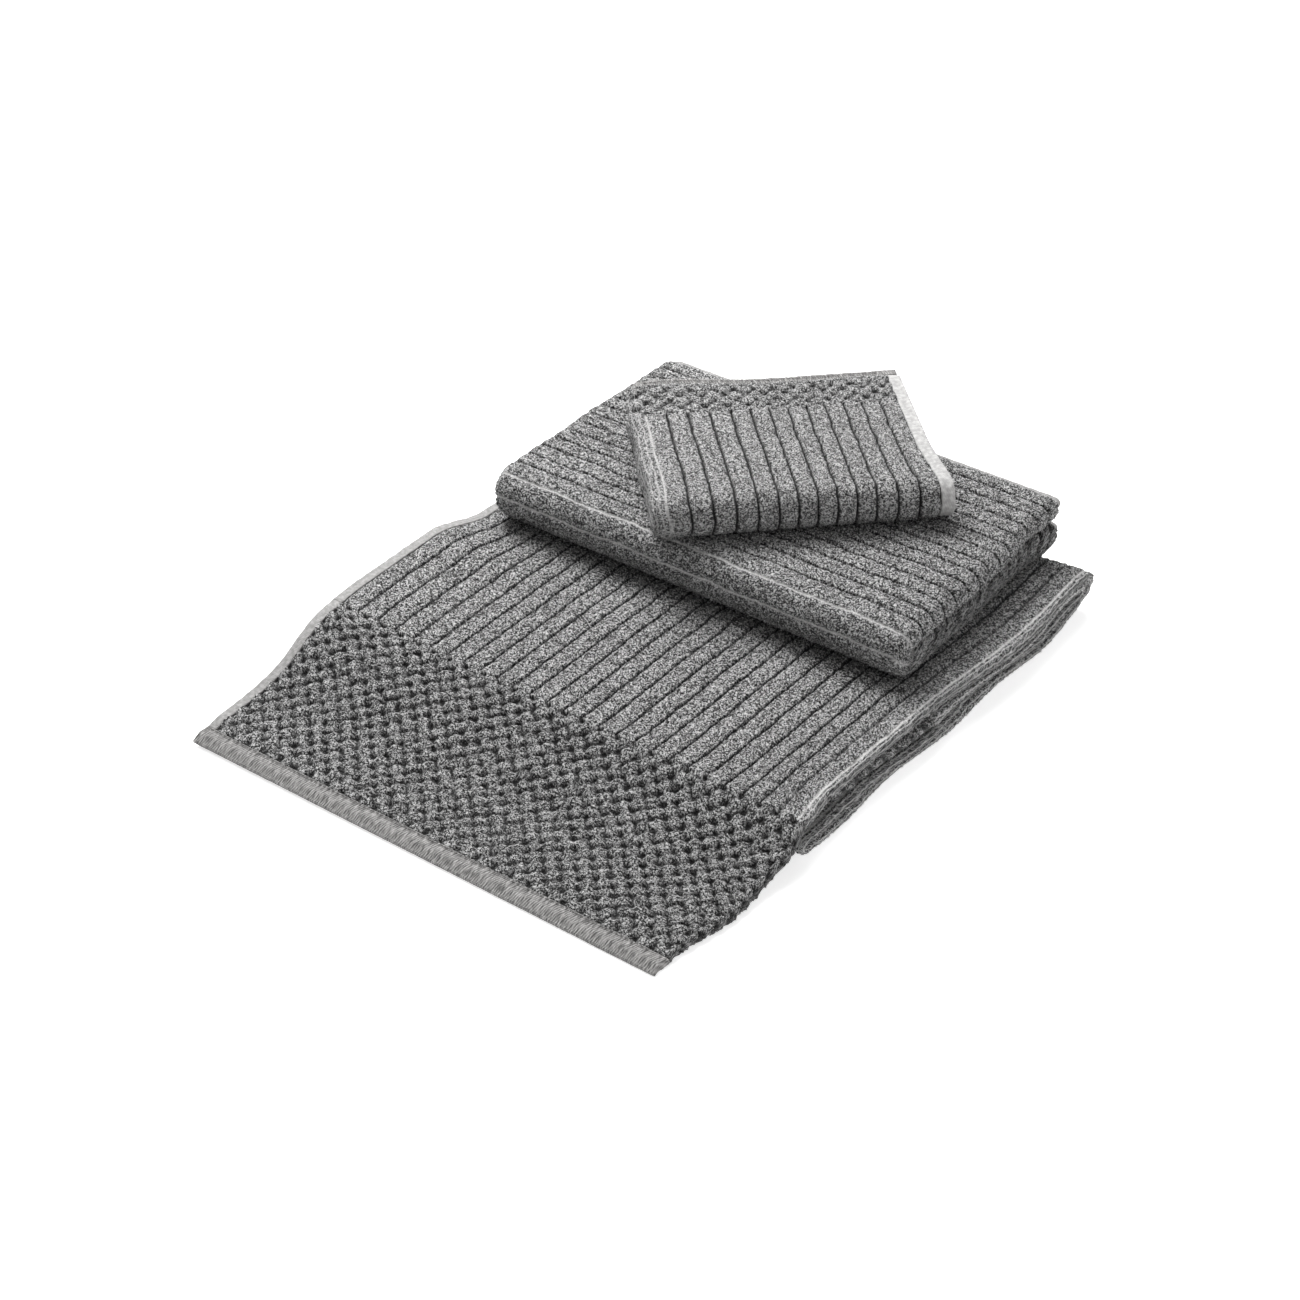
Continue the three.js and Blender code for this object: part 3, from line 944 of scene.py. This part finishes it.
def build_bath():
    field = finish(bath_field(), "bath_ribbed_field", "bath_rib_terry", "bath_towel")
    rear = finish(bath_rear_border(), "bath_rear_border", "bath_block_terry", "bath_towel")
    front = finish(bath_front_border(), "bath_front_border", "bath_block_terry", "front")
    leaves = (("outer", 0.0, SELVEDGE - HAIR), ("inner", BATH_FULL - SELVEDGE + HAIR, BATH_FULL))
    parts = (
        ("bath_selvedge", "bath_towel", HEM + HAIR, CREST_V - HAIR, 4, plain, level),
        ("bath_front_selvedge", "front", CREST_V + HAIR, HEM_V - HAIR, 6, narrowing, settling),
    )
    for part, body, low, high, seed, squeeze, sink in parts:
        for k, (leaf, start, end) in enumerate(leaves):
            name = f"{part}_{leaf}_leaf"
            piece = bath_selvedge(name, start, end, low, high, seed + k, squeeze, sink)
            finish(piece, name, "selvedge_weave", body)
    hem = bath_hem("bath_front_hem", HEM_V + HAIR, BATH_ROUTE.end, 8, front_hem_sink, front_hem_thin)
    finish(hem, "bath_front_hem", "hem_weave", "bath_front_end")
    hem = bath_hem("bath_rear_hem", 0.0, HEM - HAIR, 9, rear_hem_sink, rear_hem_thin)
    finish(hem, "bath_rear_hem", "hem_weave", "bath_towel")
    path = bath_stitch_path(HEM_V + 1.3, 0.6, front_hem_sink)
    thread = stitches("bath_front_hem_stitching", path, 0.24, 10)
    finish(thread, "bath_front_hem_stitching", "sewing_thread", "bath_front_end")
    path = bath_stitch_path(HEM - 3.4, -6.4, rear_hem_sink)
    thread = stitches("bath_rear_hem_stitching", path, 0.24, 11)
    finish(thread, "bath_rear_hem_stitching", "sewing_thread", "bath_towel")


# Arms folded back on themselves: the hand towel and the washcloth.
def folded_route(depth, pair):
    """From the upper open edge to the fold and back below, with the fold at y = 0."""
    radius = (pair + 0.6) / 2
    low = pair / 2
    high = low + 2 * radius
    centre = radius + pair / 2
    return Guide(
        line(depth, high, centre, high),
        bend(centre, low + radius, radius, 90, 270),
        line(centre, low, depth, low),
    )


def turned(x, y, z, centre, size, turn, floor):
    """The points turned about the towel's middle and put at its place in the stack."""
    dx, dy = x - size[0] / 2, y - size[1] / 2
    c, s = math.cos(turn), math.sin(turn)
    px = centre[0] + c * dx - s * dy
    py = centre[1] + s * dx + c * dy
    return np.stack([px, py, z + floor], -1) - ROW_SHIFT


def hand_place(x, y, z, s, v):
    x, y, z = own_copies(x, y, z)
    end = rise(250, 296, x)
    back = rise(60, 193, y)
    x -= end * back * 3.5
    x += end * ripple(y, z * 2, 70.0, 51)
    begin = rise(46, 0, x)
    x += begin * 1.2 * ripple(y, z * 2, 80.0, 52) - 8.5 * rise(60, 0, x)
    return turned(x, y, z, HAND_CENTRE, (HAND_LENGTH, HAND_DEPTH), HAND_TURN, HAND_FLOOR)


def hand_profile():
    middle = HAND_LENGTH / 2
    left = HAND_SHIFT + HAND_LEAF / 2
    right = HAND_LENGTH - left
    return Guide(
        line(middle - HAND_MEET, -HAND_SHIFT, left, -HAND_SHIFT),
        bend(left, 0, HAND_SHIFT, 270, 90),
        line(left, HAND_SHIFT, right, HAND_SHIFT),
        bend(right, 0, HAND_SHIFT, 90, -90),
        line(right, -HAND_SHIFT, middle + HAND_MEET, -HAND_SHIFT),
    )


HAND_PROFILE = hand_profile()
HAND_ROUTE = folded_route(HAND_DEPTH, HAND_PAIR)
HAND = Cloth(HAND_PROFILE, HAND_ROUTE, HAND_LEAF, hand_place)
HAND_BEND = HAND_DEPTH - (HAND_PAIR + 0.3)
HAND_TURNED = HAND_BEND + math.pi * HAND_FOLD_RADIUS
HAND_FULL = HAND_PROFILE.end


def hand_rib_pile(s, v):
    opened = rise(HAND_BEND - 2, HAND_BEND + 6, v) * (1 - rise(HAND_BEND + 36, HAND_BEND + 44, v))
    return ribs(v, s, HAND_RISE, RIB, 2.3, opened * 0.85, 61)


def hand_block_pile(s, v):
    return blocks(v, s, HAND_RISE, 1.8, 65)


def hand_grooves():
    """Route positions whose outer leaf lies at a groove."""
    v = np.linspace(0, HAND_ROUTE.end, 4000)
    flat = v + HAND_SHIFT * HAND_ROUTE.angle(v)
    top = flat[-1]
    marks = np.arange(HAND_RISE, top, RIB)
    return [np.interp(m, flat, v) for m in marks]


def hand_v_lines():
    """Lines across the ribs: close together at each groove, and closer still round the fold."""
    low = SELVEDGE + HAIR
    top = []
    for groove in hand_grooves():
        closer = 0.55 if HAND_BEND < groove < HAND_TURNED else 1.0
        top.append([groove + near * closer for near in NEAR_GROOVE])
    top = merged(*top)
    even = merged(spread(low, HAND_BEND, 1.2), spread(HAND_BEND, HAND_TURNED, 0.75))
    even = np.array([e for e in even if np.min(np.abs(top - e)) > 0.45])
    lines = merged(top[(top > low + 0.3) & (top < HAND_TURNED + 12)], even)
    lower = spread(lines[-1], HAND_ROUTE.end - low, 1.3)
    return merged([low], lines[(lines > low + 0.3)], lower)


def hand_thin(v):
    """The cloth thins towards its selvedges."""
    end = HAND_ROUTE.end
    return 1 - 0.3 * (1 - rise(0, 12, v)) - 0.3 * rise(end - 12, end, v)


def hand_piece(name, s, v, pile, seed, leaf=HAND_LEAF, fuzz=FUZZ):
    cloth = Cloth(HAND_PROFILE, HAND_ROUTE, leaf, hand_place)
    back = (thinned(s, 4), thinned(v, 4))
    return slab(name, cloth, [(s, v)], back, pile, seed, fuzz, hand_thin)


def hand_field():
    v = hand_v_lines()
    start, end = HEM + HAND_BORDER + HAIR, HAND_FULL - HEM - HAND_BORDER - HAIR
    lobe = HAND_LENGTH / 2 - HAND_MEET - HAND_LOBE
    first = spread(start, lobe - 6, 3.0)
    turn = math.pi * HAND_SHIFT
    inside = spread(lobe + turn, HAND_FULL - lobe - turn, 1.15)
    shown = merged(spread(lobe - 5, lobe, 1.2), spread(lobe, lobe + turn, 0.65), inside,
                   spread(HAND_FULL - lobe - turn, HAND_FULL - lobe, 0.65),
                   spread(HAND_FULL - lobe, HAND_FULL - lobe + 5, 1.2))
    last = spread(HAND_FULL - lobe + 6, end, 3.0)
    far = thinned(v, 3)
    patches = [(first, far), (shown, v), (last, far)]
    every = np.concatenate([first, shown, last])
    back = (thinned(every, 4), far)
    return slab("hand_ribbed_field", HAND, patches, back, hand_rib_pile, 12, FUZZ, hand_thin)


def build_hand():
    field = finish(hand_field(), "hand_ribbed_field", "hand_rib_terry", "hand_towel")
    v = thinned(hand_v_lines(), 3)
    sewn = HAND_FULL - HEM
    zones = (
        ("left", HEM + HAIR, HEM + HAND_BORDER - HAIR, 0.0, HEM - HAIR),
        ("right", sewn - HAND_BORDER + HAIR, sewn - HAIR, sewn + HAIR, HAND_FULL),
    )
    for seed, (side, start, end, low, high) in enumerate(zones):
        name = f"hand_{side}_border"
        piece = hand_piece(name, spread(start, end, 2.4), v, hand_block_pile, 13 + seed)
        finish(piece, name, "hand_block_terry", "hand_towel")
        name = f"hand_{side}_hem"
        piece = hand_piece(name, spread(low, high, 1.2), v, hem_pile, 15 + seed, HAND_HEM_LEAF, 0.05)
        finish(piece, name, "hem_weave", "hand_towel")
    spans = (("hand_upper_selvedge", 0.0, SELVEDGE - HAIR),
             ("hand_lower_selvedge", HAND_ROUTE.end - SELVEDGE + HAIR, HAND_ROUTE.end))
    for seed, (name, low, high) in enumerate(spans):
        s = spread(0.0, HAND_FULL, 1.4)
        v = spread(low, high, 0.9)
        piece = hand_piece(name, s, v, hem_pile, 17 + seed, HAND_SELVEDGE_LEAF, 0.1)
        finish(piece, name, "selvedge_weave", "hand_towel")
    middle = HAND_LENGTH / 2
    rows = (("left", middle - HAND_MEET - HEM + 4.6), ("right", middle + HAND_MEET + HEM - 4.6))
    for side, x in rows:
        path = []
        for y in np.arange(19.0, 184.0, 4.0):
            path.append(hand_place(np.array(x), np.array(y), np.array(HAND_SEAM), 0, 0))
        name = f"hand_{side}_hem_stitching"
        thread = stitches(name, measured(path), 0.28, 19)
        finish(thread, name, "sewing_thread", "hand_towel")


WASH_ROUTE = folded_route(WASH_DEPTH, WASH_PAIR)


def wash_profile(pair_shift, leaf):
    left = pair_shift + leaf / 2
    return Guide(
        line(-WASH_WIDTH, pair_shift, -left, pair_shift),
        bend(-left, 0, pair_shift, 90, -90),
        line(-left, -pair_shift, -WASH_WIDTH, -pair_shift),
    )


def wash_place(x, y, z, s, v):
    x, y, z = own_copies(-x, y, z)
    x += rise(40, 0, x) * ripple(y, z * 2, 70.0, 71)
    upper = v < (WASH_BEND + WASH_TURNED) / 2
    back = rise(85, 151, y) * upper
    z += 4.5 * back * rise(90, 0, x)
    y += 3.0 * back * rise(90, 0, x)
    x -= 7.5 * rise(70, 0, x)
    corner = rise(30, -6, x) * rise(128, 151, y)
    x += 6.0 * corner
    y -= 4.0 * corner
    x += 4.5 * rise(120, 170, x) * rise(60, 0, y)
    return turned(x, y, z, WASH_CENTRE, (WASH_WIDTH, WASH_DEPTH), WASH_TURN, WASH_FLOOR)


WASH_PROFILE = wash_profile(WASH_SHIFT, WASH_LEAF)
WASH = Cloth(WASH_PROFILE, WASH_ROUTE, WASH_LEAF, wash_place)
WASH_FULL = WASH_PROFILE.end
WASH_BEND = WASH_DEPTH - (WASH_PAIR + 0.3)
WASH_TURNED = WASH_BEND + math.pi * WASH_FOLD_RADIUS
WASH_END = WASH_ROUTE.end
WASH_FIELD = WASH_HEM + WASH_BORDER
WASH_RIB = (WASH_FULL / 2 - WASH_SELVEDGE) / 13.7


def wash_rib_pile(s, v):
    mirrored = np.minimum(s, WASH_FULL - s)
    opened = 1 - rise(9, 16, np.abs(s - WASH_FULL / 2))
    found = ribs(mirrored, v, WASH_SELVEDGE, WASH_RIB, 2.3, opened, 81)
    away = np.abs(s - WASH_FULL / 2) + 0.25 * ripple(v, s, 40.0, 83)
    return creases(*found, away, WASH_CREASES)


def wash_block_pile(s, v):
    mirrored = np.minimum(s, WASH_FULL - s)
    return blocks(mirrored, v - WASH_FIELD, WASH_SELVEDGE, 1.9, 85)


def near_hems(v):
    low, high = WASH_HEM, WASH_END - WASH_HEM
    return 1 - rise(low, low + 8, v), rise(high - 8, high, v)


def wash_narrow(v):
    upper, lower = near_hems(v)
    return 1 - 0.28 * upper - 0.28 * lower


def wash_settle(v):
    upper, lower = near_hems(v)
    return -1.95 * upper + 1.95 * lower


def wash_s_lines():
    near = rib_lines(WASH_SELVEDGE, WASH_RIB, WASH_SELVEDGE + HAIR, WASH_FULL / 2 - 14)
    edge = spread(WASH_FULL / 2 - 13, WASH_FULL / 2 + 13, 0.8)
    far = rib_lines(WASH_FULL - WASH_SELVEDGE - WASH_RIB * 13, WASH_RIB, WASH_FULL / 2 + 16,
                    WASH_FULL - WASH_SELVEDGE - HAIR, False)
    return near, edge, far


def wash_piece(name, low, high, pile, seed, step, squeeze=plain, sink=level):
    near, edge, far = wash_s_lines()
    bends = [b for b in (WASH_BEND, WASH_TURNED) if low < b < high]
    stops = [low] + bends + [high]
    v = merged(*[spread(a, b, step * (0.6 if a == WASH_BEND else 1)) for a, b in zip(stops, stops[1:])])
    coarse = thinned(v, 3)
    shown = np.concatenate([near, edge])
    patches = [(shown, v), (far, coarse)]
    back = (thinned(np.concatenate([shown, far]), 4), coarse)
    return slab(name, WASH, patches, back, pile, seed, FUZZ, squeeze, sink)


def wash_selvedge(name, start, end, seed):
    v = merged(spread(WASH_HEM + HAIR, WASH_BEND, 1.2), spread(WASH_BEND, WASH_TURNED, 0.8),
               spread(WASH_TURNED, WASH_END - WASH_HEM - HAIR, 1.2))
    s = spread(start, end, 0.8)
    cloth = Cloth(WASH_PROFILE, WASH_ROUTE, WASH_SELVEDGE_LEAF, wash_place)
    back = (merged([s[0], s[len(s) // 2], s[-1]]), thinned(v, 4))
    return slab(name, cloth, [(s, v)], back, selvedge_pile, seed, 0.08, wash_narrow, wash_settle)


def wash_hem(name, low, high, seed, sink):
    profile = wash_profile(WASH_HEM_SHIFT, WASH_HEM_LEAF)
    s = spread(0.0, profile.end, 1.0)
    v = spread(low, high, 0.6)
    cloth = Cloth(profile, WASH_ROUTE, WASH_HEM_LEAF, wash_place)
    back = (thinned(s, 5), thinned(v, 4))
    return slab(name, cloth, [(s, v)], back, hem_pile, seed, 0.08, plain, sink)


def wash_hem_down(v):
    return np.full_like(v, -WASH_HEM_RISE)


def wash_hem_up(v):
    return np.full_like(v, WASH_HEM_RISE)


def build_wash():
    field = wash_piece("wash_ribbed_field", WASH_FIELD + HAIR, WASH_END - WASH_FIELD - HAIR,
                       wash_rib_pile, 20, 1.1)
    finish(field, "wash_ribbed_field", "wash_rib_terry", "washcloth")
    upper = wash_piece("wash_upper_border", WASH_HEM + HAIR, WASH_FIELD - HAIR, wash_block_pile, 21, 1.0,
                       wash_narrow, wash_settle)
    finish(upper, "wash_upper_border", "wash_block_terry", "washcloth")
    lower = wash_piece("wash_lower_border", WASH_END - WASH_FIELD + HAIR, WASH_END - WASH_HEM - HAIR,
                       wash_block_pile, 22, 1.6, wash_narrow, wash_settle)
    finish(lower, "wash_lower_border", "wash_block_terry", "washcloth")
    spans = (("wash_selvedge_outer_leaf", 0.0, WASH_SELVEDGE - HAIR),
             ("wash_selvedge_inner_leaf", WASH_FULL - WASH_SELVEDGE + HAIR, WASH_FULL))
    for seed, (name, start, end) in enumerate(spans):
        piece = wash_selvedge(name, start, end, 23 + seed)
        finish(piece, name, "wash_selvedge_weave", "washcloth")
    hems = (("wash_upper_hem", 0.0, WASH_HEM - HAIR, wash_hem_down, 25),
            ("wash_lower_hem", WASH_END - WASH_HEM + HAIR, WASH_END, wash_hem_up, 26))
    for name, low, high, sink, seed in hems:
        finish(wash_hem(name, low, high, seed, sink), name, "hem_weave", "washcloth")
    rows = (("wash_upper_hem_stitching", 14.3 + 9.75, 0.0), ("wash_lower_hem_stitching", 9.75, WASH_END))
    for name, z, v in rows:
        path = []
        for x in np.arange(8.0, 162.0, 4.0):
            path.append(wash_place(np.array(-x), np.array(147.6), np.array(z), 0, v))
        thread = stitches(name, measured(path), 0.26, 27)
        finish(thread, name, "sewing_thread", "washcloth")


# Setting.
def build_floor():
    mesh = bpy.data.meshes.new("pale_floor")
    half = 6.0
    corners = [(-half, -half, 0), (half, -half, 0), (half, half, 0), (-half, half, 0)]
    mesh.from_pydata(corners, [], [(0, 1, 2, 3)])
    floor = put("pale_floor", mesh)
    floor.location.z = -0.0004
    mesh.materials.append(floor_material())


def build_light(name, kind, energy, toward):
    """A light that shines down from the direction toward."""
    light = bpy.data.lights.new(name, kind)
    light.energy = energy
    lamp = put(name, light)
    lamp.rotation_euler = Vector(toward).to_track_quat("Z", "Y").to_euler()
    return lamp


def build_lights():
    window = build_light("window", "SUN", 2.8, (-0.5, 0.3, 1.0))
    window.data.angle = math.radians(48)
    glow = build_light("glow", "SUN", 0.7, (1.0, 0.15, 0.3))
    glow.data.angle = math.radians(60)
    panel = build_light("panel", "AREA", 13.5, (-0.62, 0.32, 0.80))
    panel.data.size = 0.5
    panel.location = (-0.62, 0.32, 0.85)
    panel.visible_camera = False

    world = bpy.data.worlds.new("studio")
    bpy.context.scene.world = world
    world.use_nodes = True
    background = world.node_tree.nodes["Background"]
    background.inputs["Color"].default_value = (1, 1, 1, 1)
    background.inputs["Strength"].default_value = 0.38


def build_camera():
    lens = bpy.data.cameras.new("camera")
    lens.lens = 72.0
    lens.sensor_width = 36.0
    lens.clip_end = 50
    camera = put("camera", lens)
    pitch = math.radians(35.388)
    yaw = math.radians(38.014)
    level_part = math.cos(pitch)
    ahead = Vector((-math.sin(yaw) * level_part, math.cos(yaw) * level_part, -math.sin(pitch)))
    camera.location = (0.76803, -1.01154, 0.90930)
    camera.rotation_euler = ahead.to_track_quat("-Z", "Y").to_euler()
    bpy.context.scene.camera = camera
    bpy.context.scene.view_settings.view_transform = "Standard"


build_bath()
build_hand()
build_wash()
build_floor()
build_lights()
build_camera()

bpy.context.view_layer.update()
